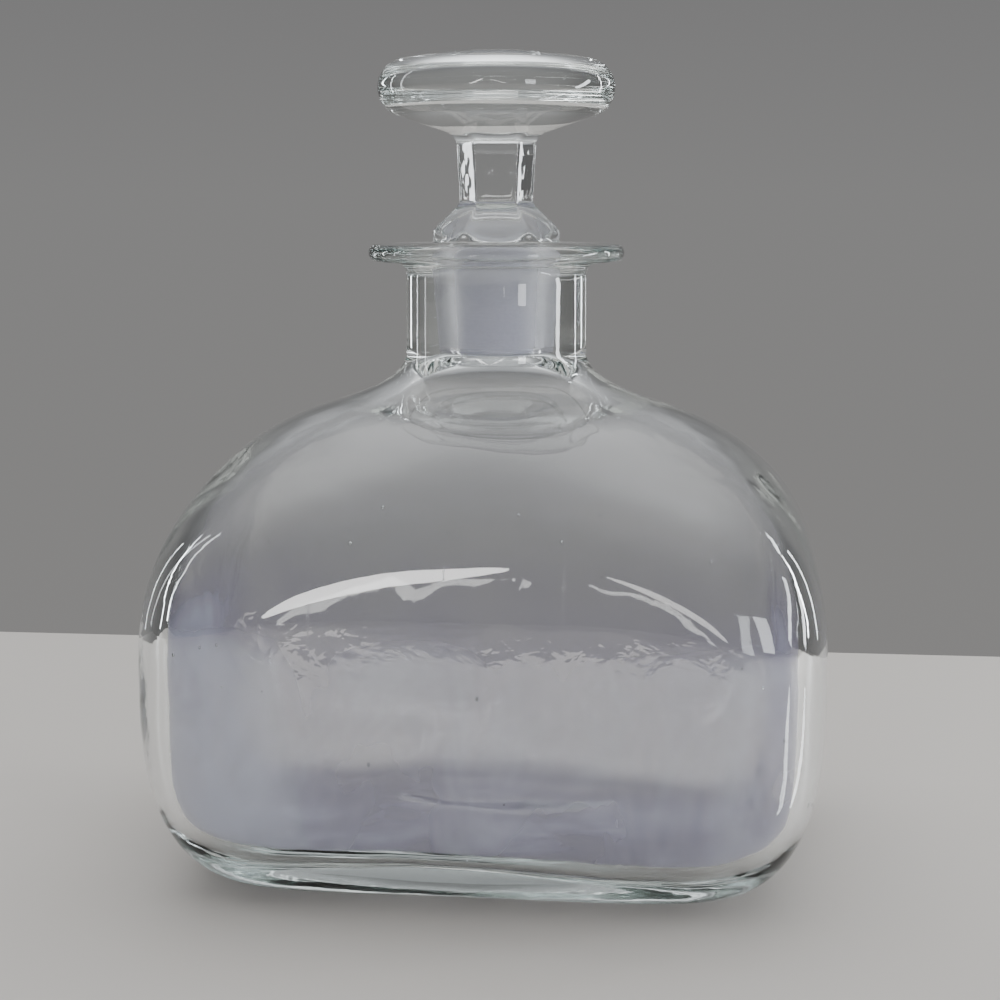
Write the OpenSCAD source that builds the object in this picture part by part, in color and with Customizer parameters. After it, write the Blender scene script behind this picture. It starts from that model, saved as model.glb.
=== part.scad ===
// Ships decanter: an oblong blown glass bottle with a flanged lip and a ground mushroom stopper.
// Millimetres. Z is up, the foot rests on z = 0, X is the width and the front faces -Y.

/* [Body] */
// Width of the body at its widest level
body_w = 165; // [145:1:185]
// Depth of the body at its widest level
body_d = 121; // [105:1:140]
// Height of the widest level above the table
belly_z = 52; // [46:1:60]
// Height of the crown that the shoulders aim at, hidden inside the neck
crown_z = 119.4; // [114:0.5:124]
// Squareness of the plan: 2 is an ellipse, higher is a rounded oblong
plan_power = 7; // [4:0.5:9]
// How soon the flat front and back arch over into the shoulders: 1 is late, higher is sooner
panel_arch = 8; // [4:0.5:10]
// Fullness of the shoulders: 2 is an ellipse, higher is boxier
shoulder_power = 2.68; // [2.3:0.02:2.9]
// Fullness of the heel between foot and belly
heel_power = 2.7; // [2.2:0.1:3.2]
// Width of the flat foot
foot_w = 99; // [85:1:115]
// Depth of the flat foot
foot_d = 73; // [60:1:85]

/* [Glass] */
// Thickness of the side walls at the belly
wall_t = 5; // [4:0.5:6]
// Thickness of the glass under the crown of the shoulders
crown_t = 5; // [4:0.5:6]
// Thickness of the base above the foot
base_t = 9; // [7:0.5:12]
// Rise of the hollow under the base
kick_h = 2.5; // [1.5:0.5:4]
// Width of the flat ring that the bottle stands on, round that hollow
foot_ring = 11; // [8:0.5:16]

/* [Neck and lip] */
// Height of the bottle to the top of its lip
bottle_h = 154.7; // [150:0.1:165]
// Outside diameter of the neck
neck_d = 44.8; // [42:0.1:48]
// Height at which the shoulders have run up into the straight neck
root_z = 128; // [126:0.5:132]
// Diameter of the flanged lip
lip_d = 63.6; // [58:0.1:70]
// Thickness of the lip, which is also the diameter of its round rim
lip_t = 4.2; // [3.4:0.1:5]
// Radius of the hollow curve from the neck to the underside of the lip
lip_fillet = 3.5; // [2:0.1:4]

/* [Ground seat] */
// Diameter of the ground bore at the top of the lip
bore_d = 21.6; // [19:0.1:24]
// Length of the ground bore, measured down from the top of the lip
seat_len = 27; // [22:0.5:28]
// Loss of diameter per length of the ground taper
seat_taper = 0.1; // [0.06:0.01:0.12]
// Gap between the plug and the bore when the stopper is home
seat_gap = 0.25; // [0.2:0.05:0.35]
// Gap between the collar and the top of the lip when the stopper is home
collar_gap = 0.3; // [0.2:0.05:0.4]
// Width of the bevel round the mouth of the bore
mouth_bevel = 0.8; // [0.4:0.1:1.2]
// Width of the inside at the level where its roof turns up into the throat
throat_w = 72; // [56:1:84]

/* [Stopper] */
// Diameter of the mushroom head
head_d = 58.5; // [50:0.5:66]
// Radius of the head's round rim
head_rim = 7; // [5:0.1:7.5]
// Rise of the head's top above the centre of its rim
head_rise = 9.1; // [8.5:0.1:10]
// Slope of the head's underside
head_slope = 19; // [10:1:25]
// Across-corner size of the six-sided stem under the head
stem_top_d = 20.5; // [18:0.1:23]
// Across-corner size of the six-sided stem above the collar
stem_low_d = 18.2; // [16:0.1:20]
// Length of the stem between collar and head
stem_len = 16.6; // [12:0.1:22]
// Radius of the hollow curve from the stem into the head
stem_fillet = 2.6; // [1.5:0.1:3]
// Diameter of the collar that covers the mouth
collar_d = 31.6; // [29:0.1:34]
// Height of the collar with its six sloped facets
collar_h = 9.6; // [8:0.1:11]
// Across-corner size that the six facets would reach at the collar's foot
collar_spread = 39; // [37:0.5:42]
// Bevel round the end of the plug
plug_bevel = 0.7; // [0.3:0.1:1]
// Turn at which the stopper stands in the neck
stopper_turn = 6.5; // [-30:0.5:30]

/* [Hidden] */

// Facet counts: round solids, sides of a stem, rings of each stretch and points round a section
round_fn = 96;
stem_sides = 6;
heel_rings = 10;
shoulder_rings = 14;
root_rings = 6;
kick_rings = 6;
section_fn = 64;
quarter_fn = section_fn / 4;

// Points crowd towards the corners of a section by this power
corner_crowd = 1.5;
// A loft ends a hair wider than the round neck or bore it meets, so that two surfaces never coincide
root_seam = 0.1;
// Depth to which the round neck reaches down inside the loft
neck_sink = 6;
// Angle round the shoulder curve at which the neck's root begins
root_angle = 66;
// Small overlap for clean unions and cuts
lap = 1;

neck_r = neck_d / 2;
bore_r = bore_d / 2;
seat_low_r = bore_r - seat_len * seat_taper / 2;
seat_low_z = bottle_h - seat_len;
cavity_crown_z = crown_z - crown_t;

collar_z = bottle_h + collar_gap;
stem_z = collar_z + collar_h;
head_z = stem_z + stem_len;
rim_r = head_d / 2 - head_rim;

// A ring is [half width, half depth, plan power, height]
function section_turn(i) =
    let (step = 2 * (i % quarter_fn) / quarter_fn - 1)
    90 * floor(i / quarter_fn) + 45 + 45 * sign(step) * pow(abs(step), corner_crowd);

function section_reach(turn, power) =
    1 / pow(pow(abs(cos(turn)), power) + pow(abs(sin(turn)), power), 1 / power);

function section(ring) = [
    for (i = [0 : section_fn - 1])
        let (turn = section_turn(i))
        let (reach = section_reach(turn, ring[2]))
        [ring[0] * reach * cos(turn), ring[1] * reach * sin(turn), ring[3]]
];

// One section between the round throat or neck of radius r and the oblong belly
function eased_ring(half_w, half_d, r, reach_w, z) =
    let (part = (reach_w - r) / (half_w - r))
    [reach_w, r + (half_d - r) * part, 2 + (plan_power - 2) * pow(part, panel_arch), z];

// Quarter curves of the shoulder, at an angle from 0 at the belly to 90 at the crown
function shoulder_w(half_w, angle) = half_w * pow(cos(angle), 2 / shoulder_power);

function shoulder_z(top_z, angle) =
    belly_z + (top_z - belly_z) * pow(sin(angle), 2 / shoulder_power);

function shoulder_stretch(half_w, half_d, r, top_z, last_angle) = [
    for (i = [1 : shoulder_rings])
        let (angle = last_angle * i / shoulder_rings)
        eased_ring(half_w, half_d, r, shoulder_w(half_w, angle), shoulder_z(top_z, angle))
];

// Quarter curve of the heel, from the floor out and up to the belly, with glass of thickness t outside it
function heel_stretch(t, floor_z) = [
    for (i = [0 : heel_rings])
        let (angle = 90 - 90 * i / heel_rings)
        let (out = pow(cos(angle), 2 / heel_power), down = pow(sin(angle), 2 / heel_power))
        let (w = foot_w + (body_w - foot_w) * out, d = foot_d + (body_d - foot_d) * out)
        [w / 2 - t, d / 2 - t, plan_power, belly_z - (belly_z - floor_z) * down]
];

// Shallow hollow under the base, with a soft edge at the ring that the bottle stands on
function kick_stretch() = [
    for (i = [1 : kick_rings])
        let (part = i / kick_rings)
        let (w = foot_w / 2 - foot_ring, d = foot_d / 2 - foot_ring)
        [w * part, d * part, 2 + (plan_power - 2) * part, kick_h * (1 + cos(180 * part)) / 2]
];

// The shoulder runs up into the neck, and the roof inside into the throat, on a curve without a corner
function root_stretch(half_w, half_d, r, top_z, start_angle, end_z) =
    let (start_w = shoulder_w(half_w, start_angle), start_z = shoulder_z(top_z, start_angle))
    let (slope = (top_z - belly_z) / half_w * pow(tan(start_angle), 2 / shoulder_power - 2))
    let (corner_z = start_z + slope * (start_w - r))
    [
        for (i = [1 : root_rings])
            let (t = i / root_rings)
            let (w = start_w * pow(1 - t, 2) + r * (1 - pow(1 - t, 2)))
            let (z = start_z * pow(1 - t, 2) + corner_z * 2 * t * (1 - t) + end_z * t * t)
            eased_ring(half_w, half_d, r, w, z)
    ];

// Closed solid through a stack of rings, with a flat or pointed cap at each end
module loft(rings, low_z, high_z) {
    last = len(rings) - 1;
    low = section_fn * len(rings);
    high = low + 1;
    function at(ring, i) = ring * section_fn + i % section_fn;
    polyhedron(
        points = concat(
            [for (ring = rings) each section(ring)],
            [[0, 0, low_z], [0, 0, high_z]]
        ),
        faces = concat(
            [for (i = [0 : section_fn - 1]) [low, at(0, i), at(0, i + 1)]],
            [for (r = [0 : last - 1], i = [0 : section_fn - 1])
                [at(r, i), at(r + 1, i), at(r + 1, i + 1)]],
            [for (r = [0 : last - 1], i = [0 : section_fn - 1])
                [at(r, i), at(r + 1, i + 1), at(r, i + 1)]],
            [for (i = [0 : section_fn - 1]) [high, at(last, i + 1), at(last, i)]]
        )
    );
}

module blown_body() {
    half_w = body_w / 2;
    half_d = body_d / 2;
    r = neck_r + root_seam;
    rings = concat(
        kick_stretch(),
        heel_stretch(0, 0),
        shoulder_stretch(half_w, half_d, r, crown_z, root_angle),
        root_stretch(half_w, half_d, r, crown_z, root_angle, root_z)
    );
    loft(rings, kick_h, root_z);
}

module cavity() {
    half_w = body_w / 2 - wall_t;
    half_d = body_d / 2 - wall_t;
    r = seat_low_r + root_seam;
    throat_angle = acos(pow(throat_w / 2 / half_w, shoulder_power / 2));
    rings = concat(
        heel_stretch(wall_t, base_t),
        shoulder_stretch(half_w, half_d, r, cavity_crown_z, throat_angle),
        root_stretch(half_w, half_d, r, cavity_crown_z, throat_angle, seat_low_z)
    );
    loft(rings, base_t, seat_low_z);
}

module neck_and_lip() {
    rotate_extrude($fn = round_fn) {
        translate([0, root_z - neck_sink])
            square([neck_r, bottle_h - root_z + neck_sink]);
        translate([0, bottle_h - lip_t])
            square([lip_d / 2 - lip_t / 2, lip_t]);
        translate([lip_d / 2 - lip_t / 2, bottle_h - lip_t / 2])
            circle(d = lip_t, $fn = round_fn);
        // Hollow curve under the lip
        difference() {
            translate([neck_r - lap, bottle_h - lip_t - lip_fillet])
                square([lip_fillet + lap, lip_fillet + lap]);
            translate([neck_r + lip_fillet, bottle_h - lip_t - lip_fillet])
                circle(r = lip_fillet, $fn = round_fn);
        }
    }
}

// Bevelled mouth and ground taper, cut right through into the throat
module ground_bore() {
    rotate_extrude($fn = round_fn)
        polygon([
            [0, seat_low_z - lap],
            [seat_low_r - lap * seat_taper / 2, seat_low_z - lap],
            [bore_r - mouth_bevel * seat_taper / 2, bottle_h - mouth_bevel],
            [bore_r + mouth_bevel + lap, bottle_h + lap],
            [0, bottle_h + lap]
        ]);
}

module bottle() {
    color([0.84, 0.9, 0.88, 0.35])
        difference() {
            union() {
                blown_body();
                neck_and_lip();
            }
            union() {
                cavity();
                ground_bore();
            }
        }
}

// Crown arc and round rim touch without a corner, and the sloped underside leaves the rim likewise
module mushroom_head() {
    rim_z = head_z + head_rim / cos(head_slope) + (rim_r - stem_top_d / 2) * tan(head_slope);
    top_z = rim_z + head_rise;
    crown_r = (rim_r * rim_r + head_rise * head_rise - head_rim * head_rim)
        / (2 * (head_rise - head_rim));
    crown_side = head_rim * rim_r / (crown_r - head_rim);
    crown_drop = head_rim * (crown_r - head_rise) / (crown_r - head_rim);
    hollow_r = stem_top_d / 2 + stem_fillet;
    hollow_z = head_z + stem_fillet * (tan(head_slope) - 1 / cos(head_slope));
    rotate_extrude($fn = round_fn) {
        translate([rim_r, rim_z])
            circle(r = head_rim, $fn = round_fn);
        polygon([
            [0, head_z],
            [stem_top_d / 2, head_z],
            [rim_r + head_rim * sin(head_slope), rim_z - head_rim * cos(head_slope)],
            [rim_r, rim_z],
            [rim_r + crown_side, rim_z + crown_drop],
            [0, rim_z + crown_drop]
        ]);
        intersection() {
            translate([0, top_z - crown_r])
                circle(r = crown_r, $fn = 4 * round_fn);
            translate([0, rim_z + crown_drop - lap])
                square([rim_r + crown_side, head_rise]);
        }
        // Hollow curve that touches the corners of the stem and the sloped underside
        difference() {
            polygon([
                [0, hollow_z],
                [hollow_r, hollow_z],
                [hollow_r - stem_fillet * sin(head_slope), hollow_z + stem_fillet * cos(head_slope)],
                [0, hollow_z + stem_fillet * cos(head_slope)]
            ]);
            translate([hollow_r, hollow_z])
                circle(r = stem_fillet, $fn = round_fn);
        }
    }
}

// Six flats run down the stem and spread over the collar, where the round rim cuts them to arches
module cut_stem() {
    translate([0, 0, stem_z - lap])
        cylinder(h = stem_len + 2 * lap, d1 = stem_low_d, d2 = stem_top_d, $fn = stem_sides);
    intersection() {
        translate([0, 0, collar_z])
            cylinder(h = collar_h, d1 = collar_spread, d2 = stem_low_d, $fn = stem_sides);
        translate([0, 0, collar_z])
            cylinder(h = collar_h, d = collar_d, $fn = round_fn);
    }
}

module ground_plug() {
    top_r = bore_r - seat_gap;
    low_r = seat_low_r - seat_gap;
    rotate_extrude($fn = round_fn)
        polygon([
            [0, seat_low_z],
            [low_r - plug_bevel, seat_low_z],
            [low_r, seat_low_z + plug_bevel],
            [top_r, bottle_h],
            [top_r, collar_z + lap],
            [0, collar_z + lap]
        ]);
}

module stopper() {
    color([0.86, 0.91, 0.9, 0.45])
        rotate([0, 0, stopper_turn])
            union() {
                mushroom_head();
                cut_stem();
                ground_plug();
            }
}

bottle();
stopper();
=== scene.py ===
import math

import bpy
from mathutils import Matrix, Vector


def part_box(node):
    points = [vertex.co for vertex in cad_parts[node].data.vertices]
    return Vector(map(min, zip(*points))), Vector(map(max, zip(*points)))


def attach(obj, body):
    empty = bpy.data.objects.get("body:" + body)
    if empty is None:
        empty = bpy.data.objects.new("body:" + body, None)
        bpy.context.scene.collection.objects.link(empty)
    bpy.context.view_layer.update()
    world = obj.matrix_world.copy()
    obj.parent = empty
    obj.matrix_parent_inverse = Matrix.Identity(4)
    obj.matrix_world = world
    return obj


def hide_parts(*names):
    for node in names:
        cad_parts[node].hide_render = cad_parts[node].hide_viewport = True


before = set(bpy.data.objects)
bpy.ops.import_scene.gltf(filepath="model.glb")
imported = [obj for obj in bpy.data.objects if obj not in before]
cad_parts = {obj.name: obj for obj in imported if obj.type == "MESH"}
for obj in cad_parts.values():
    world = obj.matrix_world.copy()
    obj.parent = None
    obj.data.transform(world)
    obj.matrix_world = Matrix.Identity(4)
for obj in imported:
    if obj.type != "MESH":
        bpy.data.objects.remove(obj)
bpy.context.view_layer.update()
BOTTLE_LOW, BOTTLE_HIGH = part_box("bottle")
STOPPER_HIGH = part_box("stopper")[1]

# Sizes of the blown bottle, in metres
BODY_W = BOTTLE_HIGH.x - BOTTLE_LOW.x
BODY_D = BOTTLE_HIGH.y - BOTTLE_LOW.y
BOTTLE_H = BOTTLE_HIGH.z
BELLY_Z = 0.052
CROWN_Z = 0.1194
PLAN_POWER = 7.0
PANEL_ARCH = 8.0
SHOULDER_POWER = 2.68
HEEL_POWER = 2.7
INNER_HEEL_POWER = 4.0
FOOT_W = 0.099
FOOT_D = 0.073
FOOT_RING = 0.011
FOOT_FLAT = 0.9
KICK_H = 0.0025
WALL_T = 0.005
CROWN_T = 0.005
BASE_T = 0.009
NECK_R = 0.0225
NECK_TAPER = 0.0001
ROOT_Z = 0.128
ROOT_ANGLE = math.radians(66)
LIP_R = 0.0318
LIP_T = 0.0042
LIP_EDGE_R = LIP_R - LIP_T / 2
LIP_FILLET = 0.0035
LIP_DIP = 0.0002
MOUTH_BEVEL = 0.0008
MOUTH_SLANT = 1.05
BORE_R = 0.0108
SEAT_LOW_R = 0.00945
SEAT_LOW_Z = 0.1277
SEAT_FADE = 10
THROAT_HALF_W = 0.036
FUNNEL_OUT = 0.007
FUNNEL_DOWN = 0.0045
FUNNEL_LEAD = 0.019
ROOF_STEP = 0.01

# Marks of hand work on the bottle, in metres and shares
WAVE_HEIGHT = 0.0006
WAVE_LENGTH = 0.011
OUTER_RIPPLE = -0.05
ROOF_RIPPLE = 0.5
RIPPLE_RISE = 6
SEEDS_LOST = 0.6
FLOOR_SWELL = 0.0018
FLOOR_SWELL_X = -0.012
FLOOR_SWELL_REACH = 0.024
FLOOR_DIP = 0.0014
FLOOR_DIP_START_X = 0.005
FLOOR_DIP_FULL_X = 0.05
BLOOM_FILM = 0.00012

# Sizes of the cut stopper, in metres
HEAD_R = STOPPER_HIGH.x
HEAD_TOP = STOPPER_HIGH.z
HEAD_RIM = 0.007
HEAD_RISE = 0.0091
HEAD_SLOPE = math.radians(19)
HEAD_Z = 0.1812
STEM_Z = 0.1646
STEM_TOP_R = 0.01025
STEM_LOW_R = 0.0091
STEM_FILLET = 0.0026
STEM_FILLET_R = STEM_TOP_R + STEM_FILLET
STEM_FILLET_Z = HEAD_Z + STEM_FILLET * (math.tan(HEAD_SLOPE) - 1 / math.cos(HEAD_SLOPE))
STEM_SEEDS_START = 0.2
STEM_SEEDS_END = 0.6
COLLAR_Z = 0.155
COLLAR_R = 0.0158
COLLAR_SPREAD_R = 0.0195
COLLAR_EDGE = 0.0005
COLLAR_LOW_Z = COLLAR_Z + COLLAR_EDGE
COLLAR_START_Z = STEM_Z + 0.003
COLLAR_WIDENING = 0.004
PLUG_TOP_R = 0.01055
PLUG_LOW_R = 0.0092
PLUG_BEVEL = 0.0007
PLUG_BEVEL_Z = SEAT_LOW_Z + PLUG_BEVEL
PLUG_FADE = 20
STOPPER_TURN = math.radians(6.5)
FLATS = 6
NO_FLATS = 0.2
FLAT_EASE = 0.0007
FILLET_FLATS_LOST = 0.2
FILLET_FLATS_CURVE = 1.5

# Thin scattering skins on the two ground faces, in metres
FROST_SKIN = 0.00006
BORE_FROST_LOW_GAP = 0.0005
BORE_FROST_TOP_GAP = 0.0012
PLUG_FROST_TOP_GAP = 0.0006

# Rings in each stretch of the bottle
KICK_RINGS = 9
FOOT_RINGS = 3
HEEL_RINGS = 30
SHOULDER_RINGS = 44
ROOT_RINGS = 16
NECK_RINGS = 12
LIP_FILLET_RINGS = 9
LIP_UNDER_RINGS = 3
LIP_EDGE_RINGS = 18
LIP_TOP_RINGS = 8
MOUTH_RINGS = 4
SEAT_RINGS = 20
FUNNEL_RINGS = 22
FLOOR_RINGS = 14

# Rings in each stretch of the stopper and of a frost skin
CROWN_RINGS = 20
RIM_RINGS = 34
UNDER_RINGS = 12
STEM_FILLET_RINGS = 14
STEM_RINGS = 54
COLLAR_EDGE_RINGS = 5
COLLAR_UNDER_RINGS = 4
PLUG_RINGS = 26
PLUG_BEVEL_RINGS = 4
PLUG_END_RINGS = 8
FROST_RINGS = 12


def spread(count):
    """Even steps from just after 0 to 1."""
    return [(i + 1) / count for i in range(count)]


def between(first, last, part):
    return first + (last - first) * part


def bezier(points, t):
    """A point on a curve of three or four control points."""
    while len(points) > 1:
        pairs = zip(points, points[1:])
        points = [tuple(between(a, b, t) for a, b in zip(p, q)) for p, q in pairs]
    return points[0]


def wall_ring(half_w, half_d, power, z, inside=0.0, ground=0.0, ripple=0.0, seeded=0.0, floor=0.0):
    """One section of the bottle, with how far it is inside, ground, rippled, seeded and floor."""
    return {
        "half_w": half_w,
        "half_d": half_d,
        "power": power,
        "height": z,
        "inside": inside,
        "ground": ground,
        "ripple": ripple,
        "seeded": seeded,
        "floor": floor,
    }


def round_ring(r, z, **marks):
    return wall_ring(r, r, 2.0, z, **marks)


def eased_ring(half_w, half_d, r, reach_w, z, **marks):
    """One section between the round neck or throat of radius r and the oblong belly."""
    part = (reach_w - r) / (half_w - r)
    power = between(2, PLAN_POWER, max(0, part) ** PANEL_ARCH)
    return wall_ring(reach_w, between(r, half_d, part), power, z, **marks)


def shoulder_point(half_w, top_z, angle):
    w = half_w * math.cos(angle) ** (2 / SHOULDER_POWER)
    z = between(BELLY_Z, top_z, math.sin(angle) ** (2 / SHOULDER_POWER))
    return w, z


def heel_ring(power, glass, floor_z, angle, **marks):
    """One section between floor and belly, with this much glass outside it."""
    out = max(0, math.cos(angle)) ** (2 / power)
    down = math.sin(angle) ** (2 / power)
    half_w = between(FOOT_W, BODY_W, out) / 2 - glass
    half_d = between(FOOT_D, BODY_D, out) / 2 - glass
    return wall_ring(half_w, half_d, PLAN_POWER, BELLY_Z - (BELLY_Z - floor_z) * down, **marks)


def rings_of_foot():
    """The shallow hollow under the base and the flat ring round it."""
    kick_w, kick_d = FOOT_W / 2 - FOOT_RING, FOOT_D / 2 - FOOT_RING
    rings = [round_ring(0, KICK_H)]
    for part in spread(KICK_RINGS):
        z = KICK_H * (1 + math.cos(math.pi * part)) / 2
        rings.append(wall_ring(kick_w * part, kick_d * part, between(2, PLAN_POWER, part), z))
    for part in spread(FOOT_RINGS):
        reach = FOOT_RING * part * FOOT_FLAT
        rings.append(wall_ring(kick_w + reach, kick_d + reach, PLAN_POWER, 0))
    return rings


def rings_of_body():
    """The heel, the belly and the shoulders, up into the round neck."""
    rings = []
    for part in spread(HEEL_RINGS):
        marks = {"ripple": OUTER_RIPPLE * min(1, part * RIPPLE_RISE), "seeded": part}
        rings.append(heel_ring(HEEL_POWER, 0, 0, math.pi / 2 * (1 - part), **marks))
    half_w, half_d = BODY_W / 2, BODY_D / 2
    for part in spread(SHOULDER_RINGS):
        w, z = shoulder_point(half_w, CROWN_Z, ROOT_ANGLE * part)
        marks = {"ripple": OUTER_RIPPLE, "seeded": 1 - SEEDS_LOST * part}
        rings.append(eased_ring(half_w, half_d, NECK_R, w, z, **marks))
    start = shoulder_point(half_w, CROWN_Z, ROOT_ANGLE)
    slope = (CROWN_Z - BELLY_Z) / half_w * math.tan(ROOT_ANGLE) ** (2 / SHOULDER_POWER - 2)
    corner = (NECK_R, start[1] + slope * (start[0] - NECK_R))
    for part in spread(ROOT_RINGS):
        w, z = bezier([start, corner, (NECK_R, ROOT_Z)], part)
        rings.append(eased_ring(half_w, half_d, NECK_R, w, z, ripple=OUTER_RIPPLE * (1 - part)))
    return rings


def rings_of_neck():
    """The straight neck, the hollow curve under the lip, and the lip's round edge."""
    rings = []
    top_r = NECK_R - NECK_TAPER
    fillet_z = BOTTLE_H - LIP_T - LIP_FILLET
    for part in spread(NECK_RINGS):
        rings.append(round_ring(NECK_R - NECK_TAPER * part, between(ROOT_Z, fillet_z, part)))
    for part in spread(LIP_FILLET_RINGS):
        turn = math.pi / 2 * part
        r = top_r + LIP_FILLET * (1 - math.cos(turn))
        rings.append(round_ring(r, fillet_z + LIP_FILLET * math.sin(turn)))
    for part in spread(LIP_UNDER_RINGS):
        rings.append(round_ring(between(top_r + LIP_FILLET, LIP_EDGE_R, part), BOTTLE_H - LIP_T))
    for part in spread(LIP_EDGE_RINGS):
        turn = math.pi * (part - 0.5)
        r = LIP_EDGE_R + LIP_T / 2 * math.cos(turn)
        rings.append(round_ring(r, BOTTLE_H - LIP_T / 2 + LIP_T / 2 * math.sin(turn)))
    return rings


def rings_of_mouth():
    """The top of the lip, the bevel round the mouth and the ground bore."""
    rings = []
    mouth_r = BORE_R + MOUTH_BEVEL
    for part in spread(LIP_TOP_RINGS):
        dip = LIP_DIP * math.sin(math.pi * part)
        rings.append(round_ring(between(LIP_EDGE_R, mouth_r, part), BOTTLE_H - dip))
    for part in spread(MOUTH_RINGS):
        r = mouth_r - MOUTH_BEVEL * MOUTH_SLANT * part
        rings.append(round_ring(r, BOTTLE_H - MOUTH_BEVEL * part, ground=part))
    top_r, top_z = rings[-1]["half_w"], rings[-1]["height"]
    for part in spread(SEAT_RINGS):
        r, z = between(top_r, SEAT_LOW_R, part), between(top_z, SEAT_LOW_Z, part)
        rings.append(round_ring(r, z, ground=min(1, (1 - part) * SEAT_FADE)))
    return rings


def throat_angle(half_w):
    """Angle round the shoulder curve at which the roof of the cavity turns into the throat."""
    return math.acos((THROAT_HALF_W / half_w) ** (SHOULDER_POWER / 2))


def rings_of_funnel():
    """The throat, which opens from the ground bore into the roof of the cavity."""
    rings = []
    half_w, half_d = BODY_W / 2 - WALL_T, BODY_D / 2 - WALL_T
    roof_z = CROWN_Z - CROWN_T
    roof_angle = throat_angle(half_w)
    end = shoulder_point(half_w, roof_z, roof_angle)
    near = shoulder_point(half_w, roof_z, roof_angle - ROOF_STEP)
    run = math.hypot(near[0] - end[0], near[1] - end[1])
    lead = tuple(e - (n - e) / run * FUNNEL_LEAD for e, n in zip(end, near))
    flare = (SEAT_LOW_R + FUNNEL_OUT, SEAT_LOW_Z - FUNNEL_DOWN)
    for part in spread(FUNNEL_RINGS):
        w, z = bezier([(SEAT_LOW_R, SEAT_LOW_Z), flare, lead, end], part)
        marks = {"inside": part, "ripple": ROOF_RIPPLE * part}
        rings.append(eased_ring(half_w, half_d, SEAT_LOW_R, w, z, **marks))
    return rings


def rings_of_cavity(film):
    """The inner wall below the throat, with a film of this thickness on the glass."""
    rings = []
    half_w, half_d = BODY_W / 2 - WALL_T - film, BODY_D / 2 - WALL_T - film
    roof_z = CROWN_Z - CROWN_T - film
    for part in spread(SHOULDER_RINGS):
        w, z = shoulder_point(half_w, roof_z, throat_angle(half_w) * (1 - part))
        marks = {"inside": 1, "ripple": between(ROOF_RIPPLE, 1, part)}
        rings.append(eased_ring(half_w, half_d, SEAT_LOW_R, w, z, **marks))
    for part in spread(HEEL_RINGS):
        marks = {"inside": 1, "ripple": 1, "floor": max(0, part * 2 - 1)}
        turn = math.pi / 2 * part
        rings.append(heel_ring(INNER_HEEL_POWER, WALL_T + film, BASE_T + film, turn, **marks))
    floor_w, floor_d = FOOT_W / 2 - WALL_T - film, FOOT_D / 2 - WALL_T - film
    marks = {"inside": 1, "ripple": 1, "floor": 1}
    for part in spread(FLOOR_RINGS):
        left = 1 - part
        power = between(2, PLAN_POWER, left)
        rings.append(wall_ring(floor_w * left, floor_d * left, power, BASE_T + film, **marks))
    return rings


def rings_of_bottle():
    """From the centre of the foot out and up to the lip, then down inside to the centre of the floor."""
    outside = rings_of_foot() + rings_of_body() + rings_of_neck()
    return outside + rings_of_mouth() + rings_of_funnel() + rings_of_cavity(0)


def stopper_ring(r, z, flats=NO_FLATS, ground=0.0, seeded=0.0):
    return {"round_r": r, "flat_r": flats, "height": z, "ground": ground, "seeded": seeded}


def soft_max(a, b, ease):
    return (a + b + math.sqrt((a - b) ** 2 + ease * ease)) / 2


def flats_at(z):
    """Distance of the six flats from the axis: along the stem, and spreading over the collar."""
    half_side = math.cos(math.pi / FLATS)
    up = (z - STEM_Z) / (HEAD_Z - STEM_Z)
    stem = between(STEM_LOW_R, STEM_TOP_R, up) * half_side
    down = (STEM_Z - z) / (STEM_Z - COLLAR_Z)
    collar = between(STEM_LOW_R, COLLAR_SPREAD_R, down) * half_side
    return soft_max(stem, collar, FLAT_EASE)


def rings_of_head():
    """The low dome, the round rim, the sloped underside and the hollow curve into the stem."""
    rim_r = HEAD_R - HEAD_RIM
    rim_z = HEAD_TOP - HEAD_RISE
    crown_r = (rim_r**2 + HEAD_RISE**2 - HEAD_RIM**2) / (2 * (HEAD_RISE - HEAD_RIM))
    crown_angle = math.asin(rim_r / (crown_r - HEAD_RIM))
    rings = [stopper_ring(0, HEAD_TOP)]
    for part in spread(CROWN_RINGS):
        turn = crown_angle * part
        r = crown_r * math.sin(turn)
        rings.append(stopper_ring(r, HEAD_TOP - crown_r * (1 - math.cos(turn))))
    first, last = math.pi / 2 - crown_angle, -(math.pi / 2 - HEAD_SLOPE)
    for part in spread(RIM_RINGS):
        turn = between(first, last, part)
        r = rim_r + HEAD_RIM * math.cos(turn)
        rings.append(stopper_ring(r, rim_z + HEAD_RIM * math.sin(turn)))
    under_r, under_z = rings[-1]["round_r"], rings[-1]["height"]
    meet_r = STEM_FILLET_R - STEM_FILLET * math.sin(HEAD_SLOPE)
    meet_z = STEM_FILLET_Z + STEM_FILLET * math.cos(HEAD_SLOPE)
    for part in spread(UNDER_RINGS):
        rings.append(stopper_ring(between(under_r, meet_r, part), between(under_z, meet_z, part)))
    for part in spread(STEM_FILLET_RINGS):
        turn = math.pi / 2 + HEAD_SLOPE + (math.pi / 2 - HEAD_SLOPE) * part
        r = STEM_FILLET_R + STEM_FILLET * math.cos(turn)
        lost = 1 + FILLET_FLATS_LOST * (1 - part) ** FILLET_FLATS_CURVE
        flats = flats_at(STEM_FILLET_Z) * r / STEM_TOP_R * lost
        rings.append(stopper_ring(r, STEM_FILLET_Z + STEM_FILLET * math.sin(turn), flats))
    return rings


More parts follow.
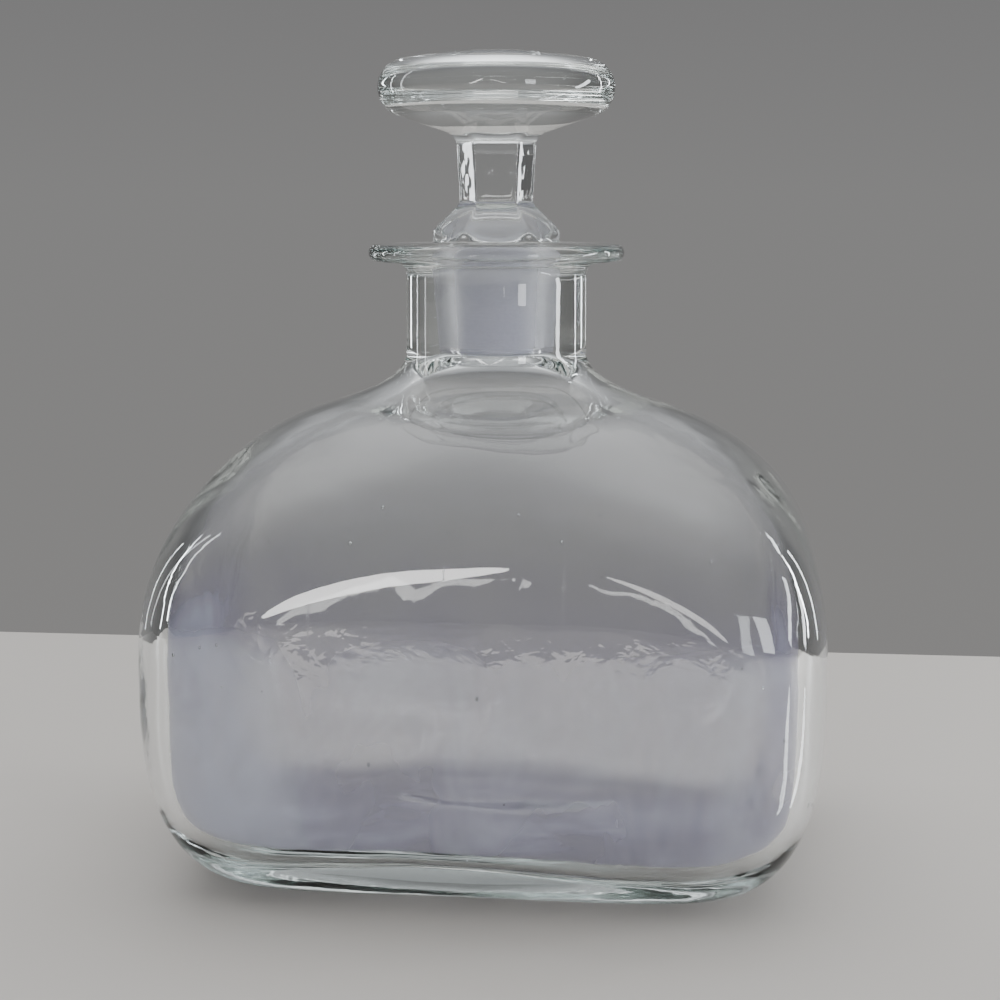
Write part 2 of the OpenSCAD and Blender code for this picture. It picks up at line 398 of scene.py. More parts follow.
def rings_of_stem():
    """The six-sided stem and the collar, down to the flat ring under the collar."""
    rings = []
    for part in spread(STEM_RINGS):
        z = between(STEM_FILLET_Z, COLLAR_LOW_Z, part)
        ease = min(1, max(0, (COLLAR_START_Z - z) / COLLAR_WIDENING))
        seeded = 1.0 if STEM_SEEDS_START < part < STEM_SEEDS_END else 0.0
        rings.append(stopper_ring(between(STEM_TOP_R, COLLAR_R, ease), z, flats_at(z), seeded=seeded))
    for part in spread(COLLAR_EDGE_RINGS):
        turn = math.pi / 2 * part
        r = COLLAR_R - COLLAR_EDGE * (1 - math.cos(turn))
        z = COLLAR_LOW_Z - COLLAR_EDGE * math.sin(turn)
        rings.append(stopper_ring(r, z, flats_at(COLLAR_LOW_Z)))
    for part in spread(COLLAR_UNDER_RINGS):
        rings.append(stopper_ring(between(COLLAR_R - COLLAR_EDGE, PLUG_TOP_R, part), COLLAR_Z))
    return rings


def rings_of_plug():
    """The ground taper, its bevel and its flat end."""
    rings = []
    for part in spread(PLUG_RINGS):
        r, z = between(PLUG_TOP_R, PLUG_LOW_R, part), between(COLLAR_Z, PLUG_BEVEL_Z, part)
        rings.append(stopper_ring(r, z, ground=min(1, part * PLUG_FADE)))
    for part in spread(PLUG_BEVEL_RINGS):
        turn = math.pi / 2 * part
        r = PLUG_LOW_R - PLUG_BEVEL * (1 - math.cos(turn))
        rings.append(stopper_ring(r, PLUG_BEVEL_Z - PLUG_BEVEL * math.sin(turn), ground=1 - part))
    for part in spread(PLUG_END_RINGS):
        rings.append(stopper_ring((PLUG_LOW_R - PLUG_BEVEL) * (1 - part), SEAT_LOW_Z))
    return rings


def rings_of_stopper():
    """From the top of the head down to the end of the plug."""
    return rings_of_head() + rings_of_stem() + rings_of_plug()


def frost_levels(low_z, high_z, low_r, high_r):
    """Radius and height of each ring of a thin skin on a ground taper, from its low end up."""
    parts = [step / FROST_RINGS for step in range(FROST_RINGS + 1)]
    return [(between(low_r, high_r, part) + FROST_SKIN, between(low_z, high_z, part)) for part in parts]


def rings_of_bore_frost():
    low_z, high_z = SEAT_LOW_Z + BORE_FROST_LOW_GAP, BOTTLE_H - BORE_FROST_TOP_GAP
    levels = frost_levels(low_z, high_z, SEAT_LOW_R, BORE_R)
    return [round_ring(r, z, ground=1.0) for r, z in levels]


def rings_of_plug_frost():
    levels = frost_levels(PLUG_BEVEL_Z, COLLAR_Z - PLUG_FROST_TOP_GAP, PLUG_LOW_R, PLUG_TOP_R)
    return [stopper_ring(r, z, ground=1.0) for r, z in reversed(levels)]


def socket_of(sockets, key):
    if isinstance(key, int):
        return sockets[key]
    return next(s for s in sockets if s.name == key and s.enabled)


def put(tree, kind, inputs=None, **settings):
    """Adds a node. Inputs are plain values or sockets of other nodes."""
    made = tree.nodes.new(kind)
    for name, value in settings.items():
        setattr(made, name, value)
    for key, value in (inputs or {}).items():
        socket = socket_of(made.inputs, key)
        if isinstance(value, bpy.types.NodeSocket):
            tree.links.new(value, socket)
        else:
            socket.default_value = value
    return made


def sum_of(tree, operation, *values, clamp=False):
    """One step of arithmetic, as the output socket of a Math node."""
    made = put(tree, "ShaderNodeMath", dict(enumerate(values)), operation=operation)
    made.use_clamp = clamp
    return made.outputs[0]


def product(tree, first, *others):
    for other in others:
        first = sum_of(tree, "MULTIPLY", first, other)
    return first


def faded(tree, value, start, end, low, high, curve="SMOOTHSTEP"):
    """A step from low to high while the value goes from start to end."""
    inputs = {"Value": value, "From Min": start, "From Max": end, "To Min": low, "To Max": high}
    return put(tree, "ShaderNodeMapRange", inputs, interpolation_type=curve).outputs[0]


def mixed(tree, part, first, second):
    """A colour between two."""
    inputs = {0: part, 6: (*first, 1.0), 7: (*second, 1.0)}
    return put(tree, "ShaderNodeMix", inputs, data_type="RGBA").outputs[2]


def noise_of(tree, place, scale, **settings):
    """Soft noise over a place. Settings are named as the node's inputs are, in small letters."""
    inputs = {"Vector": place, "Scale": scale}
    inputs.update({name.title(): value for name, value in settings.items()})
    return put(tree, "ShaderNodeTexNoise", inputs).outputs[0]


def object_place(tree):
    return put(tree, "ShaderNodeTexCoord").outputs["Object"]


def axes_of(tree, place):
    return put(tree, "ShaderNodeSeparateXYZ", {0: place}).outputs


def new_tree(name, kind, inputs, outputs):
    """A node group with named sockets, given as (name, socket type, starting value)."""
    tree = bpy.data.node_groups.new(name, kind)
    for way, listed in (("INPUT", inputs), ("OUTPUT", outputs)):
        for label, socket_type, start in listed:
            socket = tree.interface.new_socket(label, in_out=way, socket_type=socket_type)
            if start is not None:
                socket.default_value = start
    start = tree.nodes.new("NodeGroupInput").outputs
    end = tree.nodes.new("NodeGroupOutput").inputs
    return tree, start, end


def mark_of(tree, label):
    """A value that each point of the geometry carries under this label."""
    read = put(tree, "GeometryNodeInputNamedAttribute", {"Name": label}, data_type="FLOAT")
    return read.outputs["Attribute"]


def ring_value(tree, rings, label, ring):
    """The value that a ring of the list has under this label."""
    inputs = {"Geometry": rings, "Value": mark_of(tree, label), "Index": ring}
    made = put(tree, "GeometryNodeSampleIndex", inputs, data_type="FLOAT", domain="POINT")
    return made.outputs[0]


def ring_sheet(tree, rings, points_round):
    """A flat grid with one row for each ring, and each point's row and share of a full turn."""
    size = put(tree, "GeometryNodeAttributeDomainSize", {"Geometry": rings}, component="MESH")
    row_length = sum_of(tree, "ADD", points_round, 1)
    inputs = {"Vertices X": size.outputs["Point Count"], "Vertices Y": row_length}
    sheet = put(tree, "GeometryNodeMeshGrid", inputs).outputs["Mesh"]
    index = put(tree, "GeometryNodeInputIndex").outputs[0]
    ring = sum_of(tree, "FLOOR", sum_of(tree, "DIVIDE", sum_of(tree, "ADD", index, 0.5), row_length))
    step = sum_of(tree, "SUBTRACT", index, sum_of(tree, "MULTIPLY", ring, row_length))
    return sheet, ring, sum_of(tree, "DIVIDE", step, points_round)


def closed_skin(tree, sheet, rings, ring, labels, x, y):
    """Wraps the grid onto its rings with their marks, and closes its seam and its two poles."""
    for label in labels:
        inputs = {"Geometry": sheet, "Name": label, "Value": ring_value(tree, rings, label, ring)}
        kept = put(tree, "GeometryNodeStoreNamedAttribute", inputs, data_type="FLOAT", domain="POINT")
        sheet = kept.outputs[0]
    z = ring_value(tree, rings, "height", ring)
    place = put(tree, "ShaderNodeCombineXYZ", {0: x, 1: y, 2: z}).outputs[0]
    wrapped = put(tree, "GeometryNodeSetPosition", {"Geometry": sheet, "Position": place})
    inputs = {"Geometry": wrapped.outputs[0], "Distance": 2e-7}
    return put(tree, "GeometryNodeMergeByDistance", inputs).outputs[0]


def hand_waves(tree, start, skin, share, **settings):
    """Moves a skin along its normals by soft noise, as far as each point's share of it allows."""
    inputs = {
        "Vector": put(tree, "GeometryNodeInputPosition").outputs[0],
        "W": start["Seed"],
        "Scale": sum_of(tree, "DIVIDE", 1, start["Wave Length"]),
    }
    inputs.update({name.title(): value for name, value in settings.items()})
    noise = put(tree, "ShaderNodeTexNoise", inputs, noise_dimensions="4D").outputs[0]
    height = product(tree, noise, share, start["Wave Height"])
    normal = put(tree, "GeometryNodeInputNormal").outputs[0]
    swell = put(tree, "ShaderNodeVectorMath", {0: normal, 3: height}, operation="SCALE").outputs[0]
    waved = put(tree, "GeometryNodeSetPosition", {"Geometry": skin, "Offset": swell})
    return put(tree, "GeometryNodeSetShadeSmooth", {"Geometry": waved.outputs[0]}).outputs[0]


def seeds_group():
    """Small bubbles of air in the glass, as voids whose faces look into the bubble."""
    tree, start, end = new_tree(
        "seeds_in_glass",
        "GeometryNodeTree",
        [
            ("Geometry", "NodeSocketGeometry", None),
            ("Density", "NodeSocketFloat", 3000.0),
            ("Least Depth", "NodeSocketFloat", 0.001),
            ("Most Depth", "NodeSocketFloat", 0.004),
            ("Least Size", "NodeSocketFloat", 0.0001),
            ("Most Size", "NodeSocketFloat", 0.0004),
            ("Seed", "NodeSocketInt", 1),
        ],
        [("Geometry", "NodeSocketGeometry", None)],
    )

    def any_between(least, most):
        inputs = {"Min": start[least], "Max": start[most], "Seed": start["Seed"]}
        made = put(tree, "FunctionNodeRandomValue", inputs, data_type="FLOAT")
        return socket_of(made.outputs, "Value")

    density = sum_of(tree, "MULTIPLY", start["Density"], mark_of(tree, "seeded"))
    inputs = {"Mesh": start["Geometry"], "Density": density, "Seed": start["Seed"]}
    spots = put(tree, "GeometryNodeDistributePointsOnFaces", inputs, distribute_method="RANDOM")
    inward = sum_of(tree, "MULTIPLY", any_between("Least Depth", "Most Depth"), -1)
    inputs = {0: spots.outputs["Normal"], 3: inward}
    offset = put(tree, "ShaderNodeVectorMath", inputs, operation="SCALE").outputs[0]
    sunk = put(tree, "GeometryNodeSetPosition", {"Geometry": spots.outputs["Points"], "Offset": offset})
    girth = any_between("Least Size", "Most Size")
    length = sum_of(tree, "MULTIPLY", girth, 1.5)
    stretch = put(tree, "ShaderNodeCombineXYZ", {0: girth, 1: girth, 2: length}).outputs[0]
    ball = put(tree, "GeometryNodeMeshUVSphere", {"Segments": 8, "Rings": 5, "Radius": 1.0})
    inputs = {"Points": sunk.outputs[0], "Instance": ball.outputs["Mesh"], "Scale": stretch}
    balls = put(tree, "GeometryNodeInstanceOnPoints", inputs)
    real = put(tree, "GeometryNodeRealizeInstances", {"Geometry": balls.outputs[0]})
    smooth = put(tree, "GeometryNodeSetShadeSmooth", {"Geometry": real.outputs[0]})
    voids = put(tree, "GeometryNodeFlipFaces", {"Mesh": smooth.outputs[0]})
    tree.links.new(voids.outputs[0], end[0])
    return tree


def finish_tree(tree, start, end, mesh, seeds, bubbles):
    """Joins the bubbles to the wall and gives the whole its glass."""
    inputs = {"Geometry": mesh, "Seed": start["Seed"], **bubbles}
    voids = put(tree, "GeometryNodeGroup", inputs, node_tree=seeds)
    both = put(tree, "GeometryNodeJoinGeometry")
    tree.links.new(voids.outputs[0], both.inputs[0])
    tree.links.new(mesh, both.inputs[0])
    real = put(tree, "GeometryNodeRealizeInstances", {"Geometry": both.outputs[0]})
    done = put(tree, "GeometryNodeSetMaterial", {"Geometry": real.outputs[0], "Material": start["Glass"]})
    tree.links.new(done.outputs[0], end[0])


def swollen_floor(tree, start, skin):
    """Lifts the inner floor into a low mound left of the middle, and lets it dip to the right."""
    aside = axes_of(tree, put(tree, "GeometryNodeInputPosition").outputs[0])["X"]
    off = sum_of(tree, "DIVIDE", sum_of(tree, "ADD", aside, -FLOOR_SWELL_X), FLOOR_SWELL_REACH)
    mound = sum_of(tree, "EXPONENT", product(tree, off, off, -1))
    drop = faded(tree, aside, FLOOR_DIP_START_X, FLOOR_DIP_FULL_X, low=0.0, high=1.0)
    rise = sum_of(tree, "MULTIPLY", mound, start["Floor Swell"])
    rise = sum_of(tree, "SUBTRACT", rise, sum_of(tree, "MULTIPLY", drop, start["Floor Dip"]))
    lift = put(tree, "ShaderNodeCombineXYZ", {2: sum_of(tree, "MULTIPLY", rise, mark_of(tree, "floor"))})
    return put(tree, "GeometryNodeSetPosition", {"Geometry": skin, "Offset": lift.outputs[0]}).outputs[0]


def blown_wall_tree(seeds):
    """Lofts a blown wall through oblong rings and gives it the soft waves of hand work."""
    tree, start, end = new_tree(
        "blown_wall",
        "GeometryNodeTree",
        [
            ("Rings", "NodeSocketGeometry", None),
            ("Points Round", "NodeSocketInt", 224),
            ("Corner Crowding", "NodeSocketFloat", 0.12),
            ("Wave Height", "NodeSocketFloat", 0.0002),
            ("Wave Length", "NodeSocketFloat", 0.014),
            ("Floor Swell", "NodeSocketFloat", 0.0018),
            ("Floor Dip", "NodeSocketFloat", 0.0014),
            ("Seed", "NodeSocketInt", 1),
            ("Glass", "NodeSocketMaterial", None),
        ],
        [("Geometry", "NodeSocketGeometry", None)],
    )
    rings = start["Rings"]
    sheet, ring, share = ring_sheet(tree, rings, start["Points Round"])
    even = sum_of(tree, "MULTIPLY", share, -math.tau)
    crowd = sum_of(tree, "SINE", sum_of(tree, "MULTIPLY", even, 4))
    turn = sum_of(tree, "MULTIPLY_ADD", crowd, start["Corner Crowding"], even)
    along, across = sum_of(tree, "COSINE", turn), sum_of(tree, "SINE", turn)
    power = ring_value(tree, rings, "power", ring)
    sides = [sum_of(tree, "POWER", sum_of(tree, "ABSOLUTE", side), power) for side in (along, across)]
    reach = sum_of(tree, "POWER", sum_of(tree, "ADD", *sides), sum_of(tree, "DIVIDE", -1, power))
    x = product(tree, reach, along, ring_value(tree, rings, "half_w", ring))
    y = product(tree, reach, across, ring_value(tree, rings, "half_d", ring))
    labels = ("inside", "ground", "ripple", "seeded", "floor")
    skin = swollen_floor(tree, start, closed_skin(tree, sheet, rings, ring, labels, x, y))
    smooth = hand_waves(tree, start, skin, mark_of(tree, "ripple"), detail=3.0, roughness=0.55)
    bubbles = {"Density": 900.0, "Least Size": 0.00012, "Most Size": 0.0004}
    finish_tree(tree, start, end, smooth, seeds, bubbles)
    return tree


def cut_glass_tree(seeds):
    """Lofts the stopper: round rings with up to six polished flats, their edges a little rounded."""
    tree, start, end = new_tree(
        "cut_glass",
        "GeometryNodeTree",
        [
            ("Rings", "NodeSocketGeometry", None),
            ("Points Round", "NodeSocketInt", 240),
            ("Flats", "NodeSocketInt", 6),
            ("Edge Sharpness", "NodeSocketFloat", 55.0),
            ("Turn", "NodeSocketFloat", 0.0),
            ("Wave Height", "NodeSocketFloat", 0.00005),
            ("Wave Length", "NodeSocketFloat", 0.006),
            ("Seed", "NodeSocketInt", 1),
            ("Glass", "NodeSocketMaterial", None),
        ],
        [("Geometry", "NodeSocketGeometry", None)],
    )
    rings, sharp = start["Rings"], start["Edge Sharpness"]
    sheet, ring, share = ring_sheet(tree, rings, start["Points Round"])
    own = sum_of(tree, "FRACT", sum_of(tree, "MULTIPLY", share, start["Flats"]))
    from_middle = sum_of(tree, "ABSOLUTE", sum_of(tree, "SUBTRACT", own, 0.5))
    one_flat = sum_of(tree, "DIVIDE", math.tau, start["Flats"])
    near = sum_of(tree, "COSINE", sum_of(tree, "MULTIPLY", from_middle, one_flat))
    rest = sum_of(tree, "SUBTRACT", 1, from_middle)
    next_flat = sum_of(tree, "COSINE", sum_of(tree, "MULTIPLY", rest, one_flat))
    round_r = sum_of(tree, "MAXIMUM", ring_value(tree, rings, "round_r", ring), 1e-7)
    ratio = sum_of(tree, "DIVIDE", round_r, ring_value(tree, rings, "flat_r", ring))
    parts = [sum_of(tree, "POWER", product(tree, ratio, side), sharp) for side in (near, next_flat)]
    total = sum_of(tree, "ADD", 1, sum_of(tree, "ADD", *parts))
    reach = product(tree, round_r, sum_of(tree, "POWER", total, sum_of(tree, "DIVIDE", -1, sharp)))
    turn = sum_of(tree, "MULTIPLY_ADD", share, math.tau, start["Turn"])
    x = product(tree, reach, sum_of(tree, "COSINE", turn))
    y = product(tree, reach, sum_of(tree, "SINE", turn))
    skin = closed_skin(tree, sheet, rings, ring, ("ground", "seeded"), x, y)
    polished = sum_of(tree, "SUBTRACT", mark_of(tree, "ground"), 1)
    smooth = hand_waves(tree, start, skin, polished, detail=2.0)
    bubbles = {
        "Density": 9000.0,
        "Least Depth": 0.002,
        "Most Depth": 0.006,
        "Least Size": 0.00008,
        "Most Size": 0.0002,
    }
    finish_tree(tree, start, end, smooth, seeds, bubbles)
    return tree


def lofted_piece(name, rings, tree, values):
    """Runs a loft over a list of rings and returns the finished piece as a plain mesh."""
    listed = bpy.data.meshes.new(name + "_rings")
    listed.from_pydata([(0, 0, ring["height"]) for ring in rings], [], [])
    for label in rings[0]:
        marks = listed.attributes.new(label, "FLOAT", "POINT")
        marks.data.foreach_set("value", [float(ring[label]) for ring in rings])
    carrier = bpy.data.objects.new(name + "_rings", listed)
    bpy.context.scene.collection.objects.link(carrier)
    loft = carrier.modifiers.new("loft", "NODES")
    loft.node_group = tree
    for item in tree.interface.items_tree:
        if item.name in values and item.in_out == "INPUT":
            loft[item.identifier] = values[item.name]
    depsgraph = bpy.context.evaluated_depsgraph_get()
    mesh = bpy.data.meshes.new_from_object(
        carrier.evaluated_get(depsgraph), preserve_all_data_layers=True, depsgraph=depsgraph
    )
    mesh.name = name
    bpy.data.objects.remove(carrier)
    piece = bpy.data.objects.new(name, mesh)
    bpy.context.scene.collection.objects.link(piece)
    return piece


# Finish of the glass: share of light that passes, tint and murk of its depth, and roughness
CLEAR_GLASS = (0.985, 0.993, 0.99)
HAZY_GLASS = (0.94, 0.94, 0.96)
FROSTED_GLASS = (0.93, 0.93, 0.97)
BOTTLE_TINT, BOTTLE_MURK = (0.8, 0.89, 0.87), 7.0
STOPPER_TINT, STOPPER_MURK = (0.82, 0.9, 0.885), 5.0
POLISH_ROUGHNESS = 0.004
WEAR_ROUGHNESS = 0.12
HAZE_ROUGHNESS = 0.03
BORE_ROUGHNESS = 0.42
PLUG_ROUGHNESS = 0.45
HAZE_STREAKS = (30.0, 30.0, 9.0)

# Ground faces: pitch of the turning rings in metres, and the shades of the scatter
BOTTLE_RING_PITCH = 0.0009
STOPPER_RING_PITCH = 0.0007
FROST_GRAIN = 0.0005
FROST_DIM = (0.78, 0.77, 0.95)
FROST_BRIGHT = (0.9, 0.9, 1.0)
FROST_THIN_Z = SEAT_LOW_Z + 0.024
FROST_THICK_Z = SEAT_LOW_Z + 0.002
BORE_FROST_THIN, BORE_FROST_THICK = 0.55, 0.73
PLUG_FROST_THIN, PLUG_FROST_THICK = 0.5, 2.1

# Hairline scratches: turn and stretch of each set
SCRATCH_SETS = (
    ((0.3, 0.5, 0.9), (900.0, 26.0, 26.0)),
    ((1.1, 0.2, 2.1), (700.0, 22.0, 18.0)),
)

# Drawn-out lumps inside the back wall: where they set in, in metres
LUMPS_LEFT_X, LUMPS_WORST_X = -0.03, -0.06
LUMPS_MIDDLE_Y, LUMPS_BACK_Y = 0.02, 0.045
LUMPS_TOP_Z, LUMPS_FULL_Z = 0.09, 0.075
LUMPS_DRAWN = (0.65, 1.0, 0.8)
LUMP_HEIGHT = 5.5
LUMP_UNIT = 0.0001

# Lime bloom: where it fades, in metres, how much it covers, and its thin and thick shades
BLOOM_TOP_Z, BLOOM_FULL_Z = 0.077, 0.058
BLOOM_FRONT_Y, BLOOM_BACK_Y = 0.0, 0.045
BLOOM_MIDDLE_X, BLOOM_LEFT_X = -0.035, -0.065
BLOOM_TURN = (0.0, 0.45, 0.0)
BLOOM_STRETCH = (1.2, 1.0, 0.7)
BLOOM_COVER = 0.85
BLOOM_ALPHA = 0.72
BLOOM_THIN = (0.44, 0.4, 0.57)
BLOOM_THICK = (0.74, 0.76, 0.9)


def ground_frost_group():
    """Frost of a ground seat: its mask, and the height of its fine turning rings."""
    tree, start, end = new_tree(
        "ground_frost",
        "ShaderNodeTree",
        [("Ring Pitch", "NodeSocketFloat", 0.0009), ("Grain Size", "NodeSocketFloat", 0.0004)],
        [("Frost", "NodeSocketFloat", None), ("Height", "NodeSocketFloat", None)],
    )
    place = object_place(tree)
    mark = put(tree, "ShaderNodeAttribute", attribute_name="ground").outputs["Fac"]
    grain = noise_of(tree, place, sum_of(tree, "DIVIDE", 1, start["Grain Size"]), detail=1.0)
    wander = noise_of(tree, place, 90.0, detail=2.0)
    rise = sum_of(tree, "DIVIDE", axes_of(tree, place)["Z"], start["Ring Pitch"])
    phase = sum_of(tree, "MULTIPLY_ADD", wander, 1.4, rise)
    rings = sum_of(tree, "SINE", sum_of(tree, "MULTIPLY", phase, math.tau))
    height = product(tree, sum_of(tree, "MULTIPLY_ADD", rings, 0.05, grain), mark)
    patchy = sum_of(tree, "MULTIPLY", mark, sum_of(tree, "MULTIPLY_ADD", wander, 0.5, 0.75), clamp=True)
    tree.links.new(patchy, end["Frost"])
    tree.links.new(height, end["Height"])
    return tree


def shelf_wear_group():
    """Fine hairline scratches and a breath of dust on polished glass."""
    tree, start, end = new_tree(
        "shelf_wear",
        "ShaderNodeTree",
        [("Scratches", "NodeSocketFloat", 1.0), ("Dust", "NodeSocketFloat", 1.0)],
        [("Wear", "NodeSocketFloat", None)],
    )
    place = object_place(tree)
    sets = []
    for turn, stretch in SCRATCH_SETS:
        inputs = {"Vector": place, "Rotation": turn, "Scale": stretch}
        drawn = noise_of(tree, put(tree, "ShaderNodeMapping", inputs).outputs[0], 1.0, detail=1.0)
        sets.append(faded(tree, drawn, 0.735, 0.76, low=0.0, high=1.0, curve="LINEAR"))
    specks = noise_of(tree, place, 1400.0, detail=0.0)
    dust = faded(tree, specks, 0.7, 0.8, low=0.0, high=0.6, curve="LINEAR")
    wear = sum_of(tree, "MULTIPLY", sum_of(tree, "MAXIMUM", *sets), start["Scratches"])
    wear = sum_of(tree, "MULTIPLY_ADD", dust, start["Dust"], wear)
    tree.links.new(wear, end["Wear"])
    return tree


def new_material(name):
    """A material with its plain shader."""
    made = bpy.data.materials.new(name)
    made.use_nodes = True
    return made, made.node_tree, made.node_tree.nodes["Principled BSDF"]


def glass_material(name, tint, murk):
    """Clear glass that darkens a little with its own depth."""
    made, tree, _ = new_material(name)
    tree.nodes.clear()
    inputs = {"Transmission Weight": 1.0, "IOR": 1.5, "Metallic": 0.0}
    glass = put(tree, "ShaderNodeBsdfPrincipled", inputs)
    depth = put(tree, "ShaderNodeVolumeAbsorption", {"Color": (*tint, 1.0), "Density": murk})
    out = put(tree, "ShaderNodeOutputMaterial")
    tree.links.new(glass.outputs[0], out.inputs["Surface"])
    tree.links.new(depth.outputs[0], out.inputs["Volume"])
    return made, tree, glass


def worn_polish(tree, glass, rough, wear_group, scratches, dust):
    """Roughness of polished glass: what its own finish gives, and the wear of the shelf."""
    wear = put(tree, "ShaderNodeGroup", {"Scratches": scratches, "Dust": dust}, node_tree=wear_group)
    rough = sum_of(tree, "MULTIPLY_ADD", wear.outputs["Wear"], WEAR_ROUGHNESS, rough)
    rough = sum_of(tree, "ADD", rough, POLISH_ROUGHNESS, clamp=True)
    tree.links.new(rough, glass.inputs["Roughness"])


def blown_lumps(tree, place, inside):
    """Height of the drawn-out lumps inside the back wall, worst at its left end, none on the shoulders."""
    axes = axes_of(tree, place)
    left = faded(tree, axes["X"], LUMPS_LEFT_X, LUMPS_WORST_X, low=1.0, high=2.0)
    back = faded(tree, axes["Y"], LUMPS_MIDDLE_Y, LUMPS_BACK_Y, low=0.06, high=1.0)
    low = faded(tree, axes["Z"], LUMPS_TOP_Z, LUMPS_FULL_Z, low=0.0, high=1.0)
    drawn = put(tree, "ShaderNodeMapping", {"Vector": place, "Scale": LUMPS_DRAWN}).outputs[0]
    lumps = noise_of(tree, drawn, 140.0, detail=3.0, roughness=0.55, distortion=0.4)
    return product(tree, lumps, left, back, low, inside, LUMP_HEIGHT)


def bottle_glass_material(frost_group, wear_group):
    made, tree, glass = glass_material("bottle_glass", BOTTLE_TINT, BOTTLE_MURK)
    place = object_place(tree)
    inside = put(tree, "ShaderNodeAttribute", attribute_name="inside").outputs["Fac"]
    streaks = put(tree, "ShaderNodeMapping", {"Vector": place, "Scale": HAZE_STREAKS}).outputs[0]
    haze = product(tree, noise_of(tree, streaks, 1.0, detail=2.0), inside)
    frost = put(tree, "ShaderNodeGroup", {"Ring Pitch": BOTTLE_RING_PITCH}, node_tree=frost_group)
    veil = product(tree, haze, HAZE_ROUGHNESS)
    rough = sum_of(tree, "MULTIPLY_ADD", frost.outputs["Frost"], BORE_ROUGHNESS, veil)
    worn_polish(tree, glass, rough, wear_group, scratches=0.7, dust=0.6)
    tree.links.new(mixed(tree, haze, CLEAR_GLASS, HAZY_GLASS), glass.inputs["Base Color"])
    inputs = {"Height": blown_lumps(tree, place, inside), "Strength": 1.0, "Distance": LUMP_UNIT}
    tree.links.new(put(tree, "ShaderNodeBump", inputs).outputs[0], glass.inputs["Normal"])
    return made


def stopper_glass_material(frost_group, wear_group):
    made, tree, glass = glass_material("stopper_glass", STOPPER_TINT, STOPPER_MURK)
    inputs = {"Ring Pitch": STOPPER_RING_PITCH}
    frost = put(tree, "ShaderNodeGroup", inputs, node_tree=frost_group).outputs["Frost"]
    worn_polish(tree, glass, product(tree, frost, PLUG_ROUGHNESS), wear_group, scratches=0.8, dust=0.5)
    tree.links.new(mixed(tree, frost, CLEAR_GLASS, FROSTED_GLASS), glass.inputs["Base Color"])
    return made


def ground_skin_material(name, frost_group, thin, thick):
    """The pale scatter of a ground taper, thicker towards its low end."""
    made, tree, skin = new_material(name)
    inputs = {"Ring Pitch": BOTTLE_RING_PITCH, "Grain Size": FROST_GRAIN}
    frost = put(tree, "ShaderNodeGroup", inputs, node_tree=frost_group).outputs
    z = axes_of(tree, object_place(tree))["Z"]
    low = faded(tree, z, FROST_THIN_Z, FROST_THICK_Z, low=thin, high=thick)
    ridge = faded(tree, frost["Height"], 0.1, 0.9, low=0.22, high=0.34)
    tree.links.new(mixed(tree, ridge, FROST_DIM, FROST_BRIGHT), skin.inputs["Base Color"])
    tree.links.new(product(tree, ridge, low, frost["Frost"]), skin.inputs["Alpha"])
    skin.inputs["Roughness"].default_value = 0.8
    skin.inputs["Specular IOR Level"].default_value = 0.1
    return made


def bloom_cloud(tree, place):
    """Where a dried-out filling has left its film: low down in front, thicker at the left, in drifts."""
    axes = axes_of(tree, place)
    inputs = {"Vector": place, "Rotation": BLOOM_TURN, "Scale": BLOOM_STRETCH}
    drift = put(tree, "ShaderNodeMapping", inputs).outputs[0]
    cloud = noise_of(tree, drift, 32.0, detail=3.0, roughness=0.5, distortion=0.35)
    low = faded(tree, axes["Z"], BLOOM_TOP_Z, BLOOM_FULL_Z, low=0.08, high=1.0)
    back = faded(tree, axes["Y"], BLOOM_FRONT_Y, BLOOM_BACK_Y, low=1.0, high=0.35)
    left = faded(tree, axes["X"], BLOOM_MIDDLE_X, BLOOM_LEFT_X, low=0.0, high=0.3)
    patches = faded(tree, cloud, 0.26, 0.74, low=0.45, high=1.0)
    reach = product(tree, sum_of(tree, "ADD", BLOOM_COVER, left), low, back)
    return sum_of(tree, "MULTIPLY", reach, patches, clamp=True)


def lime_bloom_material():
    """A dry pale film on the inner wall."""
    made, tree, film = new_material("lime_bloom")
    cloud = bloom_cloud(tree, object_place(tree))
    pale = faded(tree, cloud, 0.35, 1.0, low=0.0, high=1.0)
    tree.links.new(mixed(tree, pale, BLOOM_THIN, BLOOM_THICK), film.inputs["Base Color"])
    tree.links.new(product(tree, cloud, BLOOM_ALPHA), film.inputs["Alpha"])
    film.inputs["Roughness"].default_value = 0.85
    film.inputs["Specular IOR Level"].default_value = 0.1
    return made


# Studio: the table top in metres, the backdrop's shades from below to overhead, and the lamps' tints
TABLE_SIDE, TABLE_FRONT, TABLE_BACK = 3.0, -3.0, 0.23
TABLE_UNDER, TABLE_TOP = -0.04, -0.0002
TABLE_COLOUR, TABLE_ROUGHNESS = (0.6, 0.57, 0.53), 0.55
BACKDROP_BELOW = (0.4, (0.24, 0.236, 0.232, 1))
BACKDROP_OVERHEAD = (1.0, (2.8, 2.82, 2.88, 1))
BACKDROP_BETWEEN = (
    (0.5, (0.23, 0.228, 0.226, 1)),
    (0.6, (0.17, 0.17, 0.173, 1)),
    (0.8, (0.6, 0.61, 0.63, 1)),
)
WARM_WHITE, COOL_WHITE = (1.0, 0.99, 0.98), (0.93, 0.965, 1.0)
MID_BODY, SHOULDERS = (0, 0, 0.08), (0, 0, 0.1)
CARD_PLACE, OVER_CARD = (0.235, -0.06, 0.001), (0.235, -0.06, 1)

# Camera: metres, degrees round to the right, down and back to the left, and lens in millimetres
CAMERA_AWAY, CAMERA_Z = 0.5, 0.1674
CAMERA_SIDE, CAMERA_DIP, CAMERA_YAW = 6.5, 8.77, 0.103
CAMERA_LENS, CAMERA_SENSOR = 71.82, 36.0


